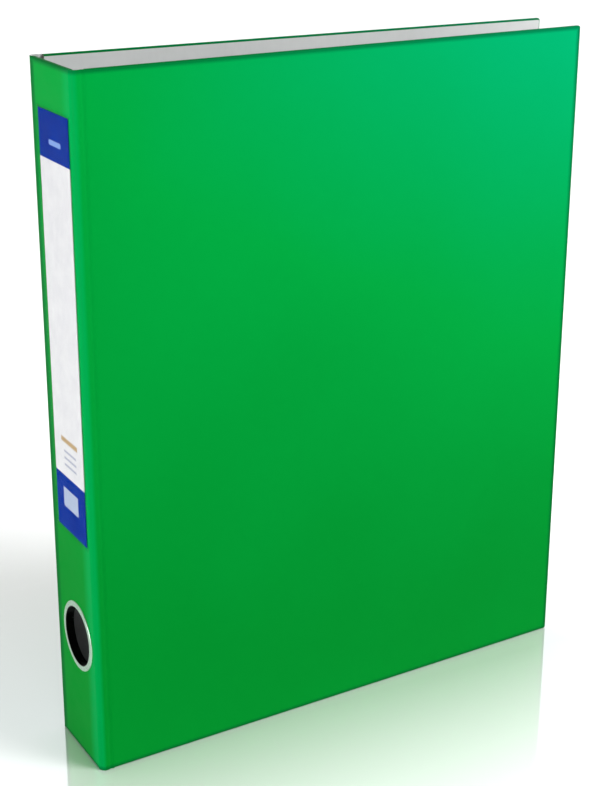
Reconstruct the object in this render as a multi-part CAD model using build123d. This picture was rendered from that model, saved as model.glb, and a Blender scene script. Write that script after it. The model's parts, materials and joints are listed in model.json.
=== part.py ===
from build123d import *
import math
import os

# Lever arch file, standing upright on its bottom edges and closed, in millimetres.
# Origin: the bottom centre of the case. +X runs from the spine to the fore-edge, +Y from the
# front cover to the back cover, +Z up. The mechanism is riveted inside the back cover.

# ---------------------------------------------------------------- case: driving sizes
file_height = 345.0
cover_width = 285.0         # outside of the spine to the fore-edge
spine_width = 52.0          # outside of the back cover to outside of the front cover
cover_lean = 3.0            # degrees: the empty file's front cover leans in at the fore-edge
board = 2.0                 # grey board
film = 0.25                 # green film glued round the boards
liner = 0.2                 # grey lining paper
turn_in = 14.0              # film folded over onto the inside
liner_margin = 0.9          # edge of the lining paper back from the edge of the cover
liner_corner = 0.5
edge_radius = 0.8           # film over a board's edge
outline_radius = 1.2        # corners of a cover, seen from the front
corner_radius = 3.5         # rounding between the spine and a cover
hinge_flat = 3.5            # film without board on the cover side of that rounding
hinge_film = 0.4            # film and cloth together at a hinge
hinge_inset = 0.9           # hinge line in from the sharp corner of the case

# ---------------------------------------------------------------- finger ring and label
ring_height = 65.0          # centre of the finger hole above the bottom
finger_hole_radius = 15.0
ring_wall = 0.6
ring_lip = 2.3              # flange beyond the barrel
ring_flange = 0.6
ring_crimp = 1.0            # barrel beyond the lining, rolled over the washer
washer_lip = 3.0            # washer beyond the barrel
washer = 0.6
label_bottom = 120.0
label_top_margin = 21.5     # label to the top of the spine
label_front_margin = 1.75   # label to the rounding on the front cover's side
label_back_margin = 7.75    # label to the rounding on the back cover's side
label_card = 0.3
label_play = 0.1            # card to pocket, on each face and at the bottom
label_side_play = 0.4
pocket_film = 0.3
pocket_weld = 1.2

# ---------------------------------------------------------------- mechanism: driving sizes
hole_spacing = 80.0         # between the two punched holes of a sheet
axle_from_spine = 34.0      # arch axle to the outside of the spine
plate_thickness = 1.0
plate_end_margin = 15.0     # plate beyond each post, along the spine
plate_ear_margin = 1.669    # plate beyond the lever's ears, towards the spine
plate_post_margin = 9.0     # plate beyond the posts, towards the fore-edge
plate_corner = 6.0
rib_height = 0.7
rib_width = 2.4
rib_inset = 3.2
wire_radius = 2.1
wire_bend = 4.5
wire_clearance = 0.05
axle_gap = 0.7              # axle above the plate
arch_span = 38.0            # axle to post
arch_rise = 11.5
arch_crown = 1.0            # rise beyond the small radius at each side of the arch
arch_clearance = 13.0       # arches to the front lining at the spine
arch_swing = 26.0           # degrees
post_wall = 0.6
post_bore_clearance = 0.2   # arch wire to the post's bore
post_bore_depth = 4.0
post_collar_radius = 5.5
post_collar = 1.2
tip_gap = 0.5               # full wire above the post's rim
tip_length = 2.0
tip_radius = 0.8
bearing_gap = 0.5           # bearing to the end of the crank's bend
bearing_length = 7.0
bearing_wall = 1.2
crank_reach = 16.0
crank_lift = 26.0           # degrees above the plate when the arches are closed
crank_half_width = 16.0
lever_swing = 42.0          # degrees
lever_steel = 0.8
lever_width = 9.6
lever_reach = 45.9          # pivot to the end of the rolled tip
lever_pivot_y = -9.0
lever_pivot_height = 8.5
lever_pin_radius = 1.5
lever_eye = 1.9             # steel round the pivot hole and the roller pin
arm_gap = 0.686             # arm above the crank
arm_web = 1.0
arm_depth = 3.0
tip_roll_radius = 2.4
tip_roll_wall = 1.0
ear_steel = 1.0
ear_gap = 0.15
pin_clearance = 0.05
pin_head = 0.6
pin_head_radius = 2.5
roller_radius = 4.0
roller_side_play = 0.4      # roller to each cheek of the lever
roller_gap = 0.2            # roller to crank at each end of the travel
roller_pin_radius = 1.25
bar_width = 14.0
bar_overhang = 12.0         # beyond each post
bar_thickness = 2.0
bar_hole_clearance = 0.3
bar_lift = 0.6              # bar above the post collars
bar_rib = 1.2
bar_rib_width = 5.0
bar_tab = 6.0               # grip at each end
rivet_radius = 1.7
rivet_head_radius = 3.4
rivet_head = 1.2
rivet_foot_radius = 4.6
rivet_foot = 0.8
rivet_clearance = 0.05
rivet_end_inset = 6.0       # rivet to the plate's end
rivet_side_inset = 4.6      # rivet to the plate's side

# ---------------------------------------------------------------- worked out from them
label_length = file_height - label_bottom - label_top_margin
label_width = spine_width - 2 * corner_radius - label_front_margin - label_back_margin
cover_core = film + board + film
cover_thickness = cover_core + liner
spine_x = -cover_width / 2
fore_x = cover_width / 2
front_y = -spine_width / 2
back_y = spine_width / 2
label_y = front_y + corner_radius + label_front_margin + label_width / 2
ring_y = label_y            # the ring sits on the label's centre line
inner_y = back_y - cover_thickness
hinge_x = spine_x + hinge_inset
panel_start = corner_radius + hinge_flat
panel_length = cover_width - panel_start
barrel_radius = finger_hole_radius + ring_wall
ring_flange_radius = barrel_radius + ring_lip
washer_radius = barrel_radius + washer_lip
axle_x = spine_x + axle_from_spine
mechanism_z = file_height / 2
half_spacing = hole_spacing / 2
inside_depth = spine_width - 2 * cover_thickness
spring_line = inside_depth - arch_clearance - wire_radius - arch_rise
post_height = spring_line - 2 * tip_gap
post_bore_radius = wire_radius + post_bore_clearance
post_radius = post_bore_radius + post_wall
arch_shoulder = arch_rise - arch_crown
axle_height = plate_thickness + axle_gap + wire_radius
bearing_start = crank_half_width + wire_bend + bearing_gap
crank_x = -crank_reach * math.cos(math.radians(crank_lift))
crank_z = axle_height + crank_reach * math.sin(math.radians(crank_lift))
crank_open_z = axle_height + crank_reach * math.sin(math.radians(crank_lift - arch_swing))
roller_rise = wire_radius + roller_radius + roller_gap
roller_z = crank_z + roller_rise
roller_drop = crank_z - crank_open_z
roller_above_pivot = roller_z - lever_pivot_height
swing = math.radians(lever_swing)
roller_ahead = (roller_drop - roller_above_pivot * (1 - math.cos(swing))) / math.sin(swing)
roller_y = lever_pivot_y + roller_ahead
roller_length = lever_width - 2 * (lever_steel + roller_side_play)
arm_top = crank_z + wire_radius + arm_gap + arm_web
plate_length = hole_spacing + 2 * plate_end_margin
plate_spine_side = lever_width / 2 + ear_gap + ear_steel + plate_ear_margin - crank_x
plate_fore_side = arch_span + plate_post_margin
bar_z = plate_thickness + post_collar + bar_lift
bar_travel = post_height - bar_z - bar_thickness - bar_rib

# The mechanism is drawn lying on its plate: X towards the fore-edge, Y up the file and Z away
# from the back cover. This puts it in its place.
in_file = Pos(axle_x, inner_y, mechanism_z) * Rot(90, 0, 0)
# The front cover leans in about its hinge line.
leaning = Pos(hinge_x, front_y + hinge_inset, 0) * Rot(0, 0, cover_lean)
leaning = leaning * Pos(-hinge_x, -front_y - hinge_inset, 0)


def box_between(low, high):
    size = [b - a for a, b in zip(low, high)]
    middle = [(a + b) / 2 for a, b in zip(low, high)]
    return Pos(*middle) * Box(*size)


def rod(axis, start, length, radius):
    """A cylinder from a start point along X, Y or Z."""
    turn = {"X": Rot(0, 90, 0), "Y": Rot(-90, 0, 0), "Z": Rot(0, 0, 0)}[axis]
    upright = Cylinder(radius, length, align=(Align.CENTER, Align.CENTER, Align.MIN))
    return Pos(*start) * turn * upright


# ---------------------------------------------------------------- case
def cover_slab(inset):
    """A cover's outline, inset on the faces and the three free edges; outer face at Y = 0."""
    low = (0, inset, inset)
    high = (panel_length - inset, cover_core - inset, file_height - inset)
    slab = box_between(low, high)
    fore_corners = slab.edges().filter_by(Axis.Y).group_by(Axis.X)[-1]
    slab = fillet(fore_corners, outline_radius - inset)
    faces = slab.faces().sort_by(Axis.Y)
    rims = faces[0].edges() + faces[-1].edges()
    free_rims = [edge for edge in rims if edge.center().X > inset]
    return fillet(free_rims, edge_radius - inset)


def cover_window():
    """The space inside the turned-in film, on the cover's inner face."""
    low = (0, cover_core - film, turn_in)
    return box_between(low, (panel_length - turn_in, cover_core, file_height - turn_in))


def cover_pieces():
    """Board, film and lining of one cover, hinge edge at X = 0, outer face at Y = 0."""
    core = cover_slab(film)
    wrap = cover_slab(0) - core - cover_window()
    low = (0, cover_core, liner_margin)
    high = (panel_length - liner_margin, cover_thickness, file_height - liner_margin)
    sheet = box_between(low, high)
    sheet = fillet(sheet.edges().filter_by(Axis.Y).group_by(Axis.X)[-1], liner_corner)
    return core, wrap, sheet + cover_window()


def spine_slab(inset):
    low = (spine_x + inset, front_y + corner_radius, inset)
    high = (spine_x + cover_core - inset, back_y - corner_radius, file_height - inset)
    slab = box_between(low, high)
    return fillet(slab.edges().filter_by(Axis.Y), edge_radius - inset)


def spine_pieces():
    """Board, film and lining of the spine, with the hole for the finger ring."""
    low_y = front_y + corner_radius
    high_y = back_y - corner_radius
    core = spine_slab(film)
    inner_x = spine_x + cover_core
    low = (inner_x - film, low_y, turn_in)
    window = box_between(low, (inner_x, high_y, file_height - turn_in))
    wrap = spine_slab(0) - core - window
    low = (inner_x, low_y, liner_margin)
    lining = box_between(low, (inner_x + liner, high_y, file_height - liner_margin)) + window
    start = (spine_x - ring_flange, ring_y, ring_height)
    hole = rod("X", start, cover_thickness + 2 * ring_flange, barrel_radius)
    return core - hole, wrap - hole, lining - hole


def hinge_strip(side):
    """The bare film round one corner of the case; side is -1 at the front and 1 at the back."""
    lean = leaning if side < 0 else Pos(0, 0, 0)
    face_y = side * spine_width / 2
    layers = []
    for depth in (0, hinge_film):
        start = Vector(spine_x + depth, face_y - side * corner_radius)
        bend_end = lean * Pos(spine_x + corner_radius, face_y - side * depth, 0)
        flat_end = lean * Pos(spine_x + panel_start, face_y - side * depth, 0)
        layers.append((start, bend_end.position, flat_end.position))
    outer, inner = layers
    outline = TangentArc(outer[0], outer[1], tangent=(0, side))
    outline += Line(outer[1], outer[2])
    outline += Line(outer[2], inner[2])
    outline += Line(inner[2], inner[1])
    outline += TangentArc(inner[0], inner[1], tangent=(0, side))
    outline += Line(inner[0], outer[0])
    return extrude(make_face(outline), amount=file_height, dir=(0, 0, 1))


# ---------------------------------------------------------------- finger ring and label
def finger_ring():
    """Flange outside, barrel through the spine, rolled over the washer inside."""
    start = (spine_x - ring_flange, ring_y, ring_height)
    depth = ring_flange + cover_thickness + ring_crimp
    flange = rod("X", start, ring_flange, ring_flange_radius)
    flange = fillet(flange.edges().group_by(Axis.X)[0], ring_flange * 0.8)
    ring = flange + rod("X", start, depth, barrel_radius)
    return ring - rod("X", start, depth, finger_hole_radius)


def finger_ring_washer():
    start = (spine_x + cover_thickness, ring_y, ring_height)
    return rod("X", start, washer, washer_radius) - rod("X", start, washer, barrel_radius)


def label_pocket():
    """Clear film welded to the spine at both sides and at the bottom, open at the top."""
    depth = label_card + 2 * label_play
    half_width = label_width / 2 + label_side_play
    bottom = label_bottom - label_play
    top = label_bottom + label_length + pocket_weld
    outside = half_width + pocket_weld
    low = (spine_x - depth - pocket_film, label_y - outside, bottom - pocket_weld)
    pocket = box_between(low, (spine_x, label_y + outside, top))
    low = (spine_x - depth, label_y - half_width, bottom)
    return pocket - box_between(low, (spine_x, label_y + half_width, top))


def label():
    low = (spine_x - label_play - label_card, label_y - label_width / 2, label_bottom)
    high = (spine_x - label_play, label_y + label_width / 2, label_bottom + label_length)
    return box_between(low, high)


# ---------------------------------------------------------------- mechanism
def rivet_places():
    end = plate_length / 2 - rivet_end_inset
    sides = (-plate_spine_side + rivet_side_inset, plate_fore_side - rivet_side_inset)
    return [(x, y) for x in sides for y in (-end, end)]


def rivet_holes():
    depth = 2 * cover_thickness + plate_thickness
    holes = Part()
    for x, y in rivet_places():
        holes += rod("Z", (x, y, -depth), 2 * depth, rivet_radius + rivet_clearance)
    return holes


def lever_ear(inner_x, thickness):
    """One bent-up ear with the pivot hole, from inner_x on by a signed thickness."""
    radius = lever_pin_radius + lever_eye
    low_x = min(inner_x, inner_x + thickness)
    low = (low_x, lever_pivot_y - radius, 0)
    ear = box_between(low, (low_x + abs(thickness), lever_pivot_y + radius, lever_pivot_height))
    ear += rod("X", (low_x, lever_pivot_y, lever_pivot_height), abs(thickness), radius)
    return ear - rod("X", (low_x, lever_pivot_y, lever_pivot_height), abs(thickness), lever_pin_radius)


def axle_bearing(start_y):
    """A loop of plate steel over the axle."""
    outer = wire_radius + wire_clearance + bearing_wall
    loop = rod("Y", (0, start_y, axle_height), bearing_length, outer)
    loop += box_between((-outer, start_y, 0), (outer, start_y + bearing_length, axle_height))
    return loop - rod("Y", (0, start_y, axle_height), bearing_length, wire_radius + wire_clearance)


def base_plate():
    half = plate_length / 2
    plate = box_between((-plate_spine_side, -half, 0), (plate_fore_side, half, plate_thickness))
    plate = fillet(plate.edges().filter_by(Axis.Z), plate_corner)
    for y in (-half + rib_inset, half - rib_inset):
        low = (-plate_spine_side + 3 * plate_corner / 2, y - rib_width / 2, 0)
        high = (plate_fore_side - 3 * plate_corner / 2, y + rib_width / 2, plate_thickness + rib_height)
        rib = box_between(low, high)
        plate += fillet(rib.faces().sort_by(Axis.Z)[-1].edges(), rib_height / 2)
    for x in (-plate_spine_side + rib_inset, plate_fore_side - rib_inset):
        reach = half_spacing - post_collar_radius - rib_width / 2
        low = (x - rib_width / 2, -reach, 0)
        rib = box_between(low, (x + rib_width / 2, reach, plate_thickness + rib_height))
        plate += fillet(rib.faces().sort_by(Axis.Z)[-1].edges(), rib_height / 2)
    plate += lever_ear(crank_x + lever_width / 2 + ear_gap, ear_steel)
    plate += lever_ear(crank_x - lever_width / 2 - ear_gap, -ear_steel)
    plate += axle_bearing(bearing_start)
    plate += axle_bearing(-bearing_start - bearing_length)
    for y in (-half_spacing, half_spacing):
        plate -= rod("Z", (arch_span, y, 0), plate_thickness, post_radius)
    return plate - rivet_holes()


def mechanism_rivets():
    rivets = []
    for x, y in rivet_places():
        head = rod("Z", (x, y, plate_thickness), rivet_head, rivet_head_radius)
        head = fillet(head.edges().group_by(Axis.Z)[-1], rivet_head * 0.75)
        shank = rod("Z", (x, y, -cover_thickness), cover_thickness + plate_thickness, rivet_radius)
        foot = rod("Z", (x, y, -cover_thickness - rivet_foot), rivet_foot, rivet_foot_radius)
        foot = fillet(foot.edges().group_by(Axis.Z)[0], rivet_foot * 0.75)
        rivets.append(head + shank + foot)
    return Compound(rivets)


def fixed_post(y):
    """A tube riveted through the plate, open at the top for the arch's point."""
    post = rod("Z", (arch_span, y, 0), post_height, post_radius)
    collar = rod("Z", (arch_span, y, plate_thickness), post_collar, post_collar_radius)
    post += fillet(collar.edges().group_by(Axis.Z)[-1], post_collar / 3)
    bore_floor = post_height - post_bore_depth
    return post - rod("Z", (arch_span, y, bore_floor), post_bore_depth, post_bore_radius)


def arch_curve(y):
    """Centre line of one arch, from above the post over to the axle's side, in three arcs."""
    half = arch_span / 2
    crown_radius = (half - arch_shoulder) ** 2 + arch_rise ** 2 - arch_shoulder ** 2
    crown_radius /= 2 * (arch_rise - arch_shoulder)
    centre_drop = crown_radius - arch_rise
    reach = math.hypot(half - arch_shoulder, centre_drop)
    join_x = crown_radius * (half - arch_shoulder) / reach
    join_z = spring_line - centre_drop + crown_radius * centre_drop / reach
    post_side = Vector(half + join_x, y, join_z)
    axle_side = Vector(half - join_x, y, join_z)
    curve = Line((arch_span, y, post_height + tip_gap), (arch_span, y, spring_line))
    shoulder = TangentArc((arch_span, y, spring_line), post_side, tangent=(0, 0, 1))
    crown = TangentArc(post_side, axle_side, tangent=shoulder % 1)
    far_shoulder = TangentArc(axle_side, (0, y, spring_line), tangent=crown % 1)
    return curve + shoulder + crown + far_shoulder


def arch_wire():
    """Both arches, the axle and the crank, bent from one wire."""
    y = half_spacing
    c = crank_half_width
    corners = [
        (0, y, spring_line),
        (0, y, axle_height),
        (0, c, axle_height),
        (crank_x, c, crank_z),
        (crank_x, -c, crank_z),
        (0, -c, axle_height),
        (0, -y, axle_height),
        (0, -y, spring_line),
    ]
    axle_and_crank = FilletPolyline(*corners, radius=wire_bend)
    section = Plane((0, y, spring_line), z_dir=(0, 0, 1)) * Circle(wire_radius)
    wire = sweep(section, path=axle_and_crank)
    for side in (-y, y):
        section = Plane((arch_span, side, spring_line), z_dir=(0, 0, 1)) * Circle(wire_radius)
        wire += sweep(Pos(0, 0, tip_gap - spring_line + post_height) * section, path=arch_curve(side))
        point = Cone(tip_radius, wire_radius, tip_length)
        wire += Pos(arch_span, side, post_height + tip_gap - tip_length / 2) * point
    return wire


def lever():
    """A steel channel with two cheeks for the pivot and the roller, and a rolled finger tip."""
    low_x = crank_x - lever_width / 2
    eye = lever_pin_radius + lever_eye
    roll_y = lever_pivot_y - lever_reach + tip_roll_radius
    roll_z = arm_top - tip_roll_radius
    wall_end = roll_y + 3 * tip_roll_radius
    arm_start = lever_pivot_y - lever_eye
    side_view = Plane.YZ.offset(low_x)
    eyes = Pos(lever_pivot_y, lever_pivot_height) * Circle(eye)
    eyes += Pos(roller_y, roller_z) * Circle(roller_pin_radius + lever_eye)
    eyes += Pos(arm_start, arm_top - arm_depth / 2) * Circle(arm_depth / 2)
    cheek = extrude(side_view * make_hull(eyes.edges()), amount=lever_steel, dir=(1, 0, 0))
    cheek += box_between((low_x, wall_end, arm_top - arm_depth), (low_x + lever_steel, arm_start, arm_top))
    body = cheek + Pos(lever_width - lever_steel, 0, 0) * cheek
    body += box_between((low_x, roll_y, arm_top - arm_web), (low_x + lever_width, arm_start, arm_top))
    body += rod("X", (low_x, roll_y, roll_z), lever_width, tip_roll_radius)
    body -= rod("X", (low_x, roll_y, roll_z), lever_width, tip_roll_radius - tip_roll_wall)
    pivot = (low_x, lever_pivot_y, lever_pivot_height)
    body -= rod("X", pivot, lever_width, lever_pin_radius + pin_clearance)
    return body - rod("X", (low_x, roller_y, roller_z), lever_width, roller_pin_radius)


def lever_pivots():
    """Two short rivets, one through each ear and the lever's cheek beside it."""
    reach = lever_steel + ear_gap + ear_steel
    inner = lever_width / 2 - lever_steel
    pivots = []
    for side in (-1, 1):
        start_x = crank_x + side * inner if side > 0 else crank_x - inner - reach
        pin = rod("X", (start_x, lever_pivot_y, lever_pivot_height), reach, lever_pin_radius)
        head_x = start_x + reach if side > 0 else start_x - pin_head
        head = rod("X", (head_x, lever_pivot_y, lever_pivot_height), pin_head, pin_head_radius)
        outer = head.edges().group_by(Axis.X)[-1 if side > 0 else 0]
        pivots.append(pin + fillet(outer, pin_head / 2))
    return Compound(pivots)


def lever_roller():
    start = (crank_x - roller_length / 2, roller_y, roller_z)
    roller = rod("X", start, roller_length, roller_radius)
    roller = fillet(roller.edges().filter_by(GeomType.CIRCLE), roller_radius / 10)
    return roller - rod("X", start, roller_length, roller_pin_radius + pin_clearance)


def roller_pin():
    length = lever_width + 2 * ear_gap / 3
    return rod("X", (crank_x - length / 2, roller_y, roller_z), length, roller_pin_radius)


def compressor_bar():
    """A moulded bar that slides on the posts and holds the sheets down."""
    half = half_spacing + bar_overhang
    left = arch_span - bar_width / 2
    top = bar_z + bar_thickness
    bar = box_between((left, -half, bar_z), (left + bar_width, half, top))
    bar = fillet(bar.edges().filter_by(Axis.Z), bar_width / 4)
    bar = fillet(bar.faces().sort_by(Axis.Z)[-1].edges(), bar_thickness / 4)
    rib_end = half_spacing - bar_width / 2
    low = (arch_span - bar_rib_width / 2, -rib_end, top - bar_thickness / 2)
    rib = box_between(low, (arch_span + bar_rib_width / 2, rib_end, top + bar_rib))
    bar += fillet(rib.faces().sort_by(Axis.Z)[-1].edges(), bar_rib / 2)
    for y in (-half + bar_tab / 2, half - bar_tab / 2 - bar_rib):
        low = (left + bar_width / 4, y, top - bar_thickness / 2)
        grip = box_between(low, (left + bar_width * 3 / 4, y + bar_rib, top + bar_rib))
        bar += fillet(grip.faces().sort_by(Axis.Z)[-1].edges(), bar_rib / 3)
    for y in (-half_spacing, half_spacing):
        hole_radius = post_radius + bar_hole_clearance
        bar -= rod("Z", (arch_span, y, bar_z), bar_thickness, hole_radius)
    return bar


# ---------------------------------------------------------------- all nodes
def all_nodes():
    core, wrap, lining = cover_pieces()
    spine_core, spine_wrap, spine_lining = spine_pieces()
    to_front = leaning * Pos(spine_x + panel_start, front_y, 0)
    # the back cover is the same panel with its outer face turned to +Y
    to_back = Pos(spine_x + panel_start, back_y, 0)
    holes = in_file * rivet_holes()
    nodes = {
        "front_cover_board": to_front * core,
        "front_cover_film": to_front * wrap,
        "front_cover_lining": to_front * lining,
        "back_cover_board": to_back * mirror(core, about=Plane.XZ) - holes,
        "back_cover_film": to_back * mirror(wrap, about=Plane.XZ) - holes,
        "back_cover_lining": to_back * mirror(lining, about=Plane.XZ) - holes,
        "spine_board": spine_core,
        "spine_film": spine_wrap,
        "spine_lining": spine_lining,
        "front_hinge_strip": hinge_strip(-1),
        "back_hinge_strip": hinge_strip(1),
        "finger_ring": finger_ring(),
        "finger_ring_washer": finger_ring_washer(),
        "label_pocket": label_pocket(),
        "label_card": label(),
        "base_plate": in_file * base_plate(),
        "mechanism_rivets": in_file * mechanism_rivets(),
        "lower_post": in_file * fixed_post(-half_spacing),
        "upper_post": in_file * fixed_post(half_spacing),
        "arch_wire": in_file * arch_wire(),
        "lever": in_file * lever(),
        "lever_pivots": in_file * lever_pivots(),
        "lever_roller": in_file * lever_roller(),
        "roller_pin": in_file * roller_pin(),
        "compressor_bar": in_file * compressor_bar(),
    }
    return nodes


os.makedirs("parts", exist_ok=True)
for name, shape in all_nodes().items():
    shape.label = name
    export_step(shape, f"parts/{name}.step")
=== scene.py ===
import json
import math

import bmesh
import bpy
from mathutils import Matrix, Vector


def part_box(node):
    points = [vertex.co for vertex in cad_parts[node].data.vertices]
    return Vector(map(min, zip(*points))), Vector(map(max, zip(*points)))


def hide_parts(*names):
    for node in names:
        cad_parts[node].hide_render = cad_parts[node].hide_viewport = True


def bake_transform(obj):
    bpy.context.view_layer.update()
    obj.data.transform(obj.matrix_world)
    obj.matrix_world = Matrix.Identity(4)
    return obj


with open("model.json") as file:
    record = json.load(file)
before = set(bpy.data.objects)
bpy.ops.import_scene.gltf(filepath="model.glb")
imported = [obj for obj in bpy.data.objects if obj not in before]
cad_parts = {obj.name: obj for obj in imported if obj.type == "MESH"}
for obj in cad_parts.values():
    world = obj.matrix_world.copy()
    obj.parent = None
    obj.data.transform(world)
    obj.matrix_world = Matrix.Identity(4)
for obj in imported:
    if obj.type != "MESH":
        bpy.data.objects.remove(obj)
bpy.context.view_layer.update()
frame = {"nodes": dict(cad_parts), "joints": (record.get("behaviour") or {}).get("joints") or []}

MM = 0.001
NODES = frame["nodes"]

# ---------------------------------------------------------------- sizes read from the frame
FORE_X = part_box("front_cover_film")[1].x
back_low, back_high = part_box("back_cover_film")
spine_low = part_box("spine_film")[0]
card_low, card_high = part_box("label_card")
ring_low, ring_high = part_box("finger_ring")
FILE_HEIGHT = back_high.z
SPINE_X = spine_low.x
FRONT_Y = -back_high.y      # the case is as deep in front of its middle as behind it
BACK_Y = back_high.y
CORNER_RADIUS = spine_low.y - FRONT_Y
PANEL_START = back_low.x    # where the boards of both covers begin
COVER_LEAN = math.radians(3.0)
HINGE_FILM = 0.4 * MM
HINGE_GROOVE = 0.35 * MM
RING_BORE = 15.0 * MM
FRONT_HINGE = next(j for j in frame["joints"] if j["name"] == "front_cover_hinge")


# ---------------------------------------------------------------- node helpers
class Shader:
    """A material's node tree with short calls for the nodes that these finishes use."""

    def __init__(self, name):
        self.material = bpy.data.materials.new(name)
        self.material.use_nodes = True
        self.tree = self.material.node_tree
        self.tree.nodes.clear()
        self.out = self.node("ShaderNodeOutputMaterial")
        self.surface = self.node("ShaderNodeBsdfPrincipled")
        self.link(self.surface.outputs[0], self.out.inputs["Surface"])
        self.place = self.node("ShaderNodeTexCoord").outputs["Object"]

    def node(self, kind, **settings):
        made = self.tree.nodes.new(kind)
        for key, value in settings.items():
            setattr(made, key, value)
        return made

    def link(self, start, end):
        self.tree.links.new(start, end)

    def set(self, **values):
        """Constants on the surface shader, with spaces written as underscores."""
        for key, value in values.items():
            self.surface.inputs[key.replace("_", " ")].default_value = value

    def stretched(self, scale):
        mapping = self.node("ShaderNodeMapping")
        mapping.inputs["Scale"].default_value = scale
        self.link(self.place, mapping.inputs["Vector"])
        return mapping.outputs[0]

    def noise(self, scale, detail=3.0, rough=0.5, stretch=(1, 1, 1)):
        made = self.node("ShaderNodeTexNoise")
        made.inputs["Scale"].default_value = scale
        made.inputs["Detail"].default_value = detail
        made.inputs["Roughness"].default_value = rough
        self.link(self.stretched(stretch), made.inputs["Vector"])
        return made.outputs["Fac"]

    def voronoi(self, scale):
        made = self.node("ShaderNodeTexVoronoi")
        made.inputs["Scale"].default_value = scale
        self.link(self.place, made.inputs["Vector"])
        return made.outputs["Distance"]

    def ramp(self, value, stops):
        made = self.node("ShaderNodeValToRGB")
        ramp = made.color_ramp
        ramp.elements[0].position = stops[0][0]
        ramp.elements[0].color = (*stops[0][1], 1)
        ramp.elements[-1].position = stops[-1][0]
        ramp.elements[-1].color = (*stops[-1][1], 1)
        for position, color in stops[1:-1]:
            ramp.elements.new(position).color = (*color, 1)
        self.link(value, made.inputs["Fac"])
        return made.outputs["Color"]

    def math(self, kind, first, second=0.0):
        made = self.node("ShaderNodeMath", operation=kind)
        for socket, value in zip(made.inputs, (first, second)):
            if isinstance(value, (int, float)):
                socket.default_value = value
            else:
                self.link(value, socket)
        return made.outputs[0]

    def spread(self, value, low, high, to_low, to_high):
        made = self.node("ShaderNodeMapRange")
        made.inputs["From Min"].default_value = low
        made.inputs["From Max"].default_value = high
        made.inputs["To Min"].default_value = to_low
        made.inputs["To Max"].default_value = to_high
        self.link(value, made.inputs["Value"])
        return made.outputs["Result"]

    def mix(self, factor, first, second):
        made = self.node("ShaderNodeMix", data_type="RGBA")
        for socket, value in ((made.inputs[0], factor), (made.inputs[6], first), (made.inputs[7], second)):
            if isinstance(value, (int, float)):
                socket.default_value = value
            elif isinstance(value, tuple):
                socket.default_value = (*value, 1)
            else:
                self.link(value, socket)
        return made.outputs[2]

    def color(self, value):
        self.link(value, self.surface.inputs["Base Color"])

    def roughness(self, value):
        self.link(value, self.surface.inputs["Roughness"])

    def bump(self, *layers):
        """Height layers as (value, strength, distance in metres), the coarse one first."""
        normal = None
        for value, strength, distance in layers:
            made = self.node("ShaderNodeBump")
            made.inputs["Strength"].default_value = strength
            made.inputs["Distance"].default_value = distance
            self.link(value, made.inputs["Height"])
            if normal is not None:
                self.link(normal, made.inputs["Normal"])
            normal = made.outputs[0]
        self.link(normal, self.surface.inputs["Normal"])

    def axis(self, letter):
        split = self.node("ShaderNodeSeparateXYZ")
        self.link(self.place, split.inputs[0])
        return split.outputs[letter]

    def between(self, value, low, high, soft):
        """1 inside the band and 0 outside, with a soft edge."""
        up = self.spread(value, low - soft, low + soft, 0, 1)
        down = self.spread(value, high - soft, high + soft, 1, 0)
        return self.math("MULTIPLY", up, down)


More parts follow.
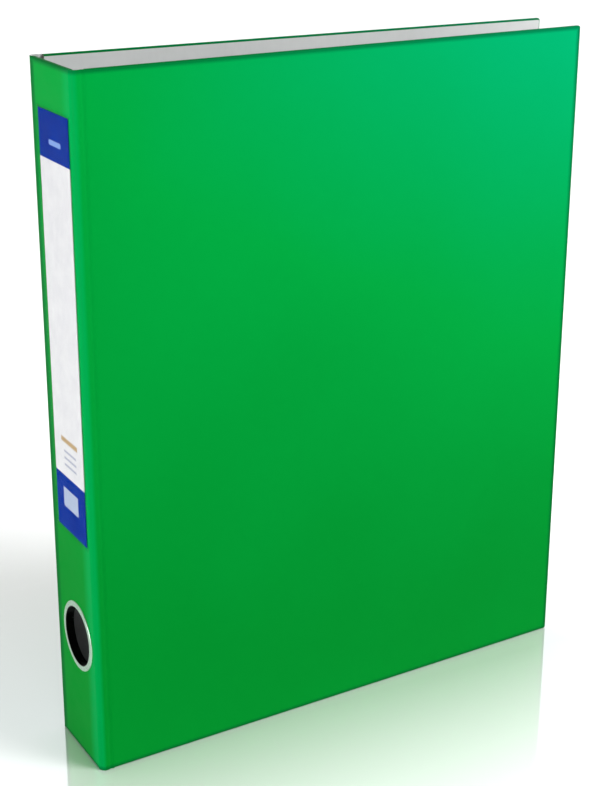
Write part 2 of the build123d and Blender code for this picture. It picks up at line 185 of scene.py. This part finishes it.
# ---------------------------------------------------------------- finishes
def green_film():
    """Green film with painted light: a painted highlight that turns cooler and lighter towards the upper
    fore-edge, painted shade towards the bottom, and painted shade along the top, bottom and fore-edge
    rims.

    On the spine, painted shade along its back edge and a painted highlight where it rounds into the front
    cover.
    """
    s = Shader("green_film")
    # Painted light: the darkest green is painted shade for the bottom and the coolest is a painted
    # highlight for the upper fore-edge; the middle one is the film's own green.
    shaded_green, middle, lit_cool_green = (0.0, 0.19, 0.017), (0.0, 0.262, 0.034), (0.0, 0.31, 0.115)
    # The first colour is the painted shade green for the rims and the spine's back edge; the second is the
    # painted highlight green for the spine's front rounding.
    painted_shade_green, painted_highlight_green = (0.0, 0.055, 0.018), (0.0, 0.34, 0.09)
    x = s.spread(s.axis("X"), SPINE_X, FORE_X, 0, 1)
    z = s.spread(s.axis("Z"), 0, FILE_HEIGHT, 0, 1)
    # Painted light: lighter and cooler towards the top and the fore-edge; the noise adds random tone.
    painted_light_and_tone = s.math("MULTIPLY", s.math("POWER", z, 1.6), s.spread(x, 0, 1, 0.35, 1.0))
    painted_light_and_tone = s.math("ADD", painted_light_and_tone, s.spread(s.noise(7, 2, 0.5), 0.3, 0.7, -0.04, 0.04))
    film_with_painted_light = s.ramp(painted_light_and_tone, [(0.0, shaded_green), (0.35, middle), (1.0, lit_cool_green)])
    # Painted shade along the top, bottom and fore-edge rims.
    top = s.spread(s.axis("Z"), FILE_HEIGHT - 2.6 * MM, FILE_HEIGHT - 1.0 * MM, 0, 1)
    bottom = s.spread(s.axis("Z"), 2.6 * MM, 1.0 * MM, 0, 1)
    fore = s.spread(s.axis("X"), FORE_X - 3.0 * MM, FORE_X - 1.2 * MM, 0, 1)
    rim = s.math("MULTIPLY", s.math("MAXIMUM", s.math("MAXIMUM", top, bottom), fore), 0.6)
    # Painted shade along the spine's back edge.
    on_spine = s.spread(s.axis("X"), SPINE_X + 6 * MM, SPINE_X + 3 * MM, 0, 1)
    back_edge_shade = s.math("MULTIPLY", s.spread(s.axis("Y"), 17.5 * MM, 20.5 * MM, 0, 0.6), on_spine)
    # Painted highlight on the spine where it rounds into the front cover.
    round_front = s.spread(s.axis("X"), SPINE_X + 3 * MM, SPINE_X + 1.5 * MM, 0, 1)
    front_edge_highlight = s.math("MULTIPLY", s.spread(s.axis("Y"), -13 * MM, -20 * MM, 0, 0.45), round_front)
    film_with_painted_light = s.mix(front_edge_highlight, film_with_painted_light, painted_highlight_green)
    s.color(s.mix(s.math("MAXIMUM", rim, back_edge_shade), film_with_painted_light, painted_shade_green))
    s.roughness(s.spread(s.noise(60, 4, 0.6), 0.3, 0.7, 0.34, 0.44))
    s.bump((s.noise(11, 2, 0.5), 0.05, 0.0004), (s.voronoi(900), 0.04, 0.00006))
    s.set(Specular_IOR_Level=0.006)
    return s.material


def grey_board():
    s = Shader("grey_board")
    layers = s.noise(500, 3, 0.6, (1, 1, 0.15))
    s.color(s.ramp(layers, [(0.3, (0.19, 0.175, 0.15)), (0.7, (0.3, 0.28, 0.25))]))
    s.set(Roughness=0.9)
    s.bump((layers, 0.4, 0.0001))
    return s.material


def lining_paper():
    s = Shader("lining_paper")
    clouds = s.noise(26, 5, 0.65)
    fibres = s.noise(420, 4, 0.7, (1, 1, 0.25))
    dark, middle, light = (0.49, 0.505, 0.50), (0.51, 0.525, 0.52), (0.54, 0.555, 0.55)
    base = s.ramp(clouds, [(0.28, dark), (0.5, middle), (0.75, light)])
    s.color(s.mix(s.spread(fibres, 0.35, 0.75, 0.0, 0.2), base, (0.60, 0.61, 0.60)))
    s.set(Roughness=0.72)
    s.bump((fibres, 0.15, 0.00008))
    return s.material


def bright_metal():
    s = Shader("bright_metal")
    s.set(Metallic=1.0)
    s.color(s.ramp(s.noise(220, 3, 0.6), [(0.3, (0.62, 0.62, 0.61)), (0.7, (0.76, 0.76, 0.75))]))
    s.roughness(s.spread(s.noise(900, 4, 0.7), 0.3, 0.7, 0.12, 0.26))
    s.bump((s.noise(1500, 2, 0.5), 0.05, 0.00003))
    return s.material


def ring_metal():
    """Nickel-plated rim tinted green as a painted reflection, with painted shade making the bore nearly
    black.
    """
    s = Shader("ring_metal")
    ring_y = (ring_low.y + ring_high.y) / 2
    ring_z = (ring_low.z + ring_high.z) / 2
    across = s.math("SUBTRACT", s.axis("Y"), ring_y)
    up = s.math("SUBTRACT", s.axis("Z"), ring_z)
    radius = s.math("SQRT", s.math("ADD", s.math("POWER", across, 2), s.math("POWER", up, 2)))
    # Painted shade: the bore is painted nearly black.
    bore_shade = s.spread(radius, RING_BORE + 0.15 * MM, RING_BORE + 0.35 * MM, 1, 0)
    # Painted reflection: the nickel is tinted green as though it mirrored the film; the noise adds random
    # tone.
    nickel_with_painted_reflection = s.ramp(s.noise(300, 3, 0.6), [(0.3, (0.34, 0.50, 0.38)), (0.7, (0.44, 0.60, 0.47))])
    s.color(s.mix(bore_shade, nickel_with_painted_reflection, (0.006, 0.008, 0.006)))
    s.roughness(s.spread(s.noise(700, 4, 0.7), 0.3, 0.7, 0.24, 0.38))
    s.bump((s.noise(1200, 2, 0.5), 0.05, 0.00003))
    s.set(Metallic=0.9, Specular_IOR_Level=0.1)
    return s.material


def plate_metal():
    s = Shader("plate_metal")
    s.set(Metallic=1.0)
    rolled = s.noise(260, 4, 0.6, (1, 1, 0.04))
    s.color(s.ramp(rolled, [(0.3, (0.5, 0.505, 0.51)), (0.7, (0.66, 0.665, 0.67))]))
    s.roughness(s.spread(rolled, 0.3, 0.7, 0.24, 0.4))
    s.bump((rolled, 0.08, 0.00005))
    return s.material


def rivet_metal():
    s = Shader("rivet_metal")
    s.set(Metallic=1.0)
    s.color(s.ramp(s.noise(500, 3, 0.6), [(0.3, (0.48, 0.485, 0.49)), (0.7, (0.62, 0.625, 0.63))]))
    s.roughness(s.spread(s.noise(800, 4, 0.7), 0.3, 0.7, 0.28, 0.42))
    s.bump((s.noise(900, 2, 0.5), 0.08, 0.00005))
    return s.material


def black_plastic():
    s = Shader("black_plastic")
    s.color(s.ramp(s.noise(80, 3, 0.6), [(0.3, (0.012, 0.012, 0.014)), (0.7, (0.022, 0.022, 0.025))]))
    s.roughness(s.spread(s.noise(1200, 3, 0.6), 0.3, 0.7, 0.35, 0.5))
    s.bump((s.noise(2200, 2, 0.6), 0.12, 0.00004))
    return s.material


def clear_film():
    s = Shader("clear_film")
    s.color(s.ramp(s.noise(40, 2, 0.5), [(0.3, (0.02, 0.03, 0.03)), (0.7, (0.04, 0.05, 0.05))]))
    s.roughness(s.spread(s.noise(30, 3, 0.6), 0.3, 0.7, 0.1, 0.2))
    s.bump((s.noise(18, 2, 0.5), 0.1, 0.0004))
    s.set(Alpha=0.05, Specular_IOR_Level=0.2)
    return s.material


def label_print():
    """White card with a blue band at each end, a bare panel in each and a few ruled lines."""
    s = Shader("label_print")
    z = s.axis("Z")
    y = s.math("SUBTRACT", s.axis("Y"), (card_low.y + card_high.y) / 2)
    foot, head = card_low.z, card_high.z
    head_band, foot_band = 22 * MM, 28.5 * MM
    sharp = 0.12 * MM

    def patch(low_y, high_y, low_z, high_z, soft=sharp):
        """A rectangle of ink, with its width in millimetres from the card's middle."""
        across = s.between(y, low_y * MM, high_y * MM, sharp)
        return s.math("MULTIPLY", s.between(z, low_z, high_z, soft), across)

    blue_band = s.math("MAXIMUM", s.between(z, head - head_band, head + MM, sharp),
                       s.between(z, foot - MM, foot + foot_band, sharp))
    blue = s.ramp(s.noise(90, 2, 0.5), [(0.3, (0.0, 0.018, 0.22)), (0.7, (0.001, 0.028, 0.27))])
    white = s.ramp(s.noise(150, 3, 0.6), [(0.3, (0.61, 0.61, 0.63)), (0.7, (0.67, 0.67, 0.68))])
    ink = [
        (patch(-9, 9, foot + 12 * MM, foot + 22 * MM), (0.36, 0.42, 0.55)),
        (patch(-8, 6, head - 15 * MM, head - 12.6 * MM), (0.20, 0.32, 0.62)),
        (patch(-11, 9, foot + 46 * MM, foot + 48.5 * MM, 0.5 * MM), (0.42, 0.30, 0.16)),
    ]
    for up in (34, 37.5, 41):
        rule = patch(-9, 6, foot + up * MM, foot + (up + 1.2) * MM, 0.3 * MM)
        ink.append((rule, (0.36, 0.38, 0.46)))
    paper = s.mix(blue_band, white, blue)
    for where, tint in ink:
        paper = s.mix(where, paper, tint)
    s.color(paper)
    s.set(Roughness=0.42, Specular_IOR_Level=0.0)
    s.bump((s.noise(1400, 3, 0.6), 0.06, 0.00003))
    return s.material


FINISHES = {
    "green_film": (green_film(), "film_green"),
    "grey_board": (grey_board(), "greyboard"),
    "lining_paper": (lining_paper(), "lining"),
    "bright_metal": (bright_metal(), "bright_steel"),
    "ring_metal": (ring_metal(), "ring_metal"),
    "plate_metal": (plate_metal(), "plate_steel"),
    "rivet_metal": (rivet_metal(), "rivet_steel"),
    "black_plastic": (black_plastic(), "bar_plastic"),
    "clear_film": (clear_film(), "pocket_film"),
    "label_print": (label_print(), "label_paper"),
}
NODE_FINISH = {
    "front_cover_film": "green_film",
    "back_cover_film": "green_film",
    "spine_film": "green_film",
    "front_cover_board": "grey_board",
    "back_cover_board": "grey_board",
    "spine_board": "grey_board",
    "front_cover_lining": "lining_paper",
    "back_cover_lining": "lining_paper",
    "spine_lining": "lining_paper",
    "finger_ring": "ring_metal",
    "finger_ring_washer": "ring_metal",
    "label_pocket": "clear_film",
    "label_card": "label_print",
    "base_plate": "plate_metal",
    "lever": "plate_metal",
    "mechanism_rivets": "rivet_metal",
    "lever_pivots": "rivet_metal",
    "roller_pin": "rivet_metal",
    "lower_post": "bright_metal",
    "upper_post": "bright_metal",
    "arch_wire": "bright_metal",
    "lever_roller": "black_plastic",
    "compressor_bar": "black_plastic",
}


def finish_cad_nodes():
    for name, finish in NODE_FINISH.items():
        materials = NODES[name].data.materials
        materials.clear()
        materials.append(FINISHES[finish][0])


def add_piece(name, mesh, finish):
    piece = bpy.data.objects.new(name, mesh)
    bpy.context.scene.collection.objects.link(piece)
    material, slot = FINISHES[finish]
    mesh.materials.append(material)
    return piece


# ---------------------------------------------------------------- hinges
def lean_point(x, y):
    """A point of the unleaned front cover, turned about the front hinge line."""
    hinge = Vector(FRONT_HINGE["pos_m"])
    turn = Matrix.Rotation(COVER_LEAN, 2)
    moved = turn @ Vector((x - hinge.x, y - hinge.y))
    return Vector((hinge.x, hinge.y)) + moved


def hinge_outline(side, depth):
    """Film round one corner at a depth below the outer face, from the spine to the cover."""
    face = side * BACK_Y
    radius = CORNER_RADIUS - depth
    centre_x = SPINE_X + CORNER_RADIUS
    centre_y = face - side * CORNER_RADIUS
    points = [Vector((SPINE_X + depth, centre_y))]
    arc_steps = 12
    for i in range(1, arc_steps + 1):
        angle = math.pi / 2 * i / arc_steps
        back, out = radius * math.cos(angle), radius * math.sin(angle)
        points.append(Vector((centre_x - back, centre_y + side * out)))
    flat = PANEL_START - centre_x
    flat_steps = 10
    for i in range(1, flat_steps + 1):
        part = i / flat_steps
        dip = HINGE_GROOVE * math.sin(math.pi * part) ** 2
        points.append(Vector((centre_x + flat * part, face - side * (depth + dip))))
    if side < 0:
        share = [min(1.0, max(0.0, (p.x - SPINE_X) / CORNER_RADIUS)) for p in points]
        points = [p.lerp(lean_point(p.x, p.y), w) for p, w in zip(points, share)]
    return points


def hinge_piece(name, side):
    """A strip of film with two skins, closed all round, so it has real thickness.

    The lining paper is on its inner skin.
    """
    outer = hinge_outline(side, 0)
    inner = hinge_outline(side, HINGE_FILM)
    loop = outer + inner[::-1]
    rows = 40
    film_index, paper_index = 0, 1
    bm = bmesh.new()
    levels = []
    for i in range(rows + 1):
        z = FILE_HEIGHT * i / rows
        levels.append([bm.verts.new((p.x, p.y, z)) for p in loop])
    count = len(loop)
    half = len(outer)
    for low, high in zip(levels, levels[1:]):
        for i in range(count):
            face = bm.faces.new((low[i], low[(i + 1) % count], high[(i + 1) % count], high[i]))
            face.material_index = paper_index if half <= i < count - 1 else film_index
    for level in (levels[0], levels[-1]):
        for i in range(half - 1):
            bm.faces.new((level[i], level[i + 1], level[count - 2 - i], level[count - 1 - i]))
    bmesh.ops.recalc_face_normals(bm, faces=bm.faces)
    mesh = bpy.data.meshes.new(name)
    bm.to_mesh(mesh)
    bm.free()
    for polygon in mesh.polygons:
        polygon.use_smooth = True
    piece = add_piece(name, mesh, "green_film")
    mesh.materials.append(FINISHES["lining_paper"][0])
    split = piece.modifiers.new("edges", "EDGE_SPLIT")
    split.split_angle = math.radians(50)
    return piece


def hinges():
    front = hinge_piece("front_hinge_film", -1)
    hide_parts("front_hinge_strip")
    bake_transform(front)
    back = hinge_piece("back_hinge_film", 1)
    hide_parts("back_hinge_strip")
    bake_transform(back)


# ---------------------------------------------------------------- stage, lights and camera
def floor():
    """White floor, polished: it mirrors what stands on it and fades away from there."""
    floor_half = 7.0
    mirror_share = 0.6
    mirror_reach = 0.16
    bm = bmesh.new()
    bmesh.ops.create_grid(bm, x_segments=2, y_segments=2, size=floor_half)
    mesh = bpy.data.meshes.new("floor")
    bm.to_mesh(mesh)
    bm.free()
    ground = bpy.data.objects.new("floor", mesh)
    bpy.context.scene.collection.objects.link(ground)
    s = Shader("white_floor")
    s.color(s.ramp(s.noise(2, 2, 0.5), [(0.3, (0.84, 0.84, 0.84)), (0.7, (0.86, 0.86, 0.86))]))
    s.set(Roughness=0.3, Specular_IOR_Level=0.3)
    outside = []
    for letter, half in (("X", -SPINE_X), ("Y", BACK_Y)):
        over = s.math("SUBTRACT", s.math("ABSOLUTE", s.axis(letter)), half)
        outside.append(s.math("POWER", s.math("MAXIMUM", over, 0.0), 2))
    distance = s.math("SQRT", s.math("ADD", outside[0], outside[1]))
    mirror = s.node("ShaderNodeBsdfGlossy")
    mirror.inputs["Roughness"].default_value = 0.06
    mirror.inputs["Color"].default_value = (0.9, 1.0, 0.98, 1)
    blend = s.node("ShaderNodeMixShader")
    s.link(s.spread(distance, 0.0, mirror_reach, mirror_share, 0.0), blend.inputs[0])
    s.link(s.surface.outputs[0], blend.inputs[1])
    s.link(mirror.outputs[0], blend.inputs[2])
    s.link(blend.outputs[0], s.out.inputs["Surface"])
    mesh.materials.append(s.material)
    return ground


def world_light():
    """A bright wall behind the object and a dimmer room in front of it."""
    room_level = 0.2
    wall_level = 0.88
    world = bpy.data.worlds.new("studio")
    bpy.context.scene.world = world
    world.use_nodes = True
    nodes = world.node_tree.nodes
    links = world.node_tree.links
    direction = nodes.new("ShaderNodeTexCoord")
    split = nodes.new("ShaderNodeSeparateXYZ")
    level = nodes.new("ShaderNodeMapRange")
    level.inputs["From Min"].default_value = -0.1
    level.inputs["From Max"].default_value = 0.35
    level.inputs["To Min"].default_value = room_level
    level.inputs["To Max"].default_value = wall_level
    links.new(direction.outputs["Generated"], split.inputs[0])
    links.new(split.outputs["Y"], level.inputs["Value"])
    nodes["Background"].inputs["Color"].default_value = (1, 1, 1, 1)
    links.new(level.outputs["Result"], nodes["Background"].inputs["Strength"])


def place_light(name, light, place, target):
    lamp = bpy.data.objects.new(name, light)
    lamp.location = place
    aim = Vector(target) - Vector(place)
    lamp.rotation_euler = aim.to_track_quat("-Z", "Y").to_euler()
    bpy.context.scene.collection.objects.link(lamp)
    return lamp


def area_light(name, place, target, size, power):
    light = bpy.data.lights.new(name, "AREA")
    light.shape = "RECTANGLE"
    light.size, light.size_y = size
    light.energy = power
    return place_light(name, light, place, target)


def sun_light(name, toward, strength, spread):
    light = bpy.data.lights.new(name, "SUN")
    light.energy = strength
    light.angle = math.radians(spread)
    return place_light(name, light, toward, (0, 0, 0))


def keep_to(lamp, thing):
    """Makes a light fall on one object only."""
    group = bpy.data.collections.new(lamp.name + "_receivers")
    group.objects.link(thing)
    lamp.light_linking.receiver_collection = group
    return group


def keep_off(lamp, thing):
    """Makes a light fall on everything but one object."""
    keep_to(lamp, thing).collection_objects[0].light_linking.link_state = "EXCLUDE"


def camera():
    """Left of the front cover and a little above it, turned as the photograph's view is."""
    data = bpy.data.cameras.new("camera")
    data.sensor_width = 36.0
    data.lens = 75.4
    data.clip_start = 0.01
    data.clip_end = 50
    view = bpy.data.objects.new("camera", data)
    view.location = (-0.4015, -0.6870, 0.4536)
    view.rotation_euler = [math.radians(a) for a in (70.157, -0.134, -29.262)]
    bpy.context.scene.collection.objects.link(view)
    bpy.context.scene.camera = view


finish_cad_nodes()
hinges()
ground = floor()
world_light()
key_direction = (0.55, -0.62, 0.6)
sun_light("sun", key_direction, 2.0, 24)
keep_to(sun_light("overhead", (0.0, -0.25, 1.0), 1.4, 50), ground)
keep_to(sun_light("floor_key", key_direction, 1.0, 36), ground)
area_light("upper_right", (0.60, -0.62, 0.70), (0.08, 0.0, 0.30), (0.4, 0.4), 5.0)
spine_lamp = area_light("spine_side", (-1.1, -0.25, 0.10), (-0.14, 0.0, 0.17), (0.6, 0.6), 13)
keep_off(spine_lamp, ground)
camera()
bpy.context.scene.view_settings.view_transform = "Standard"
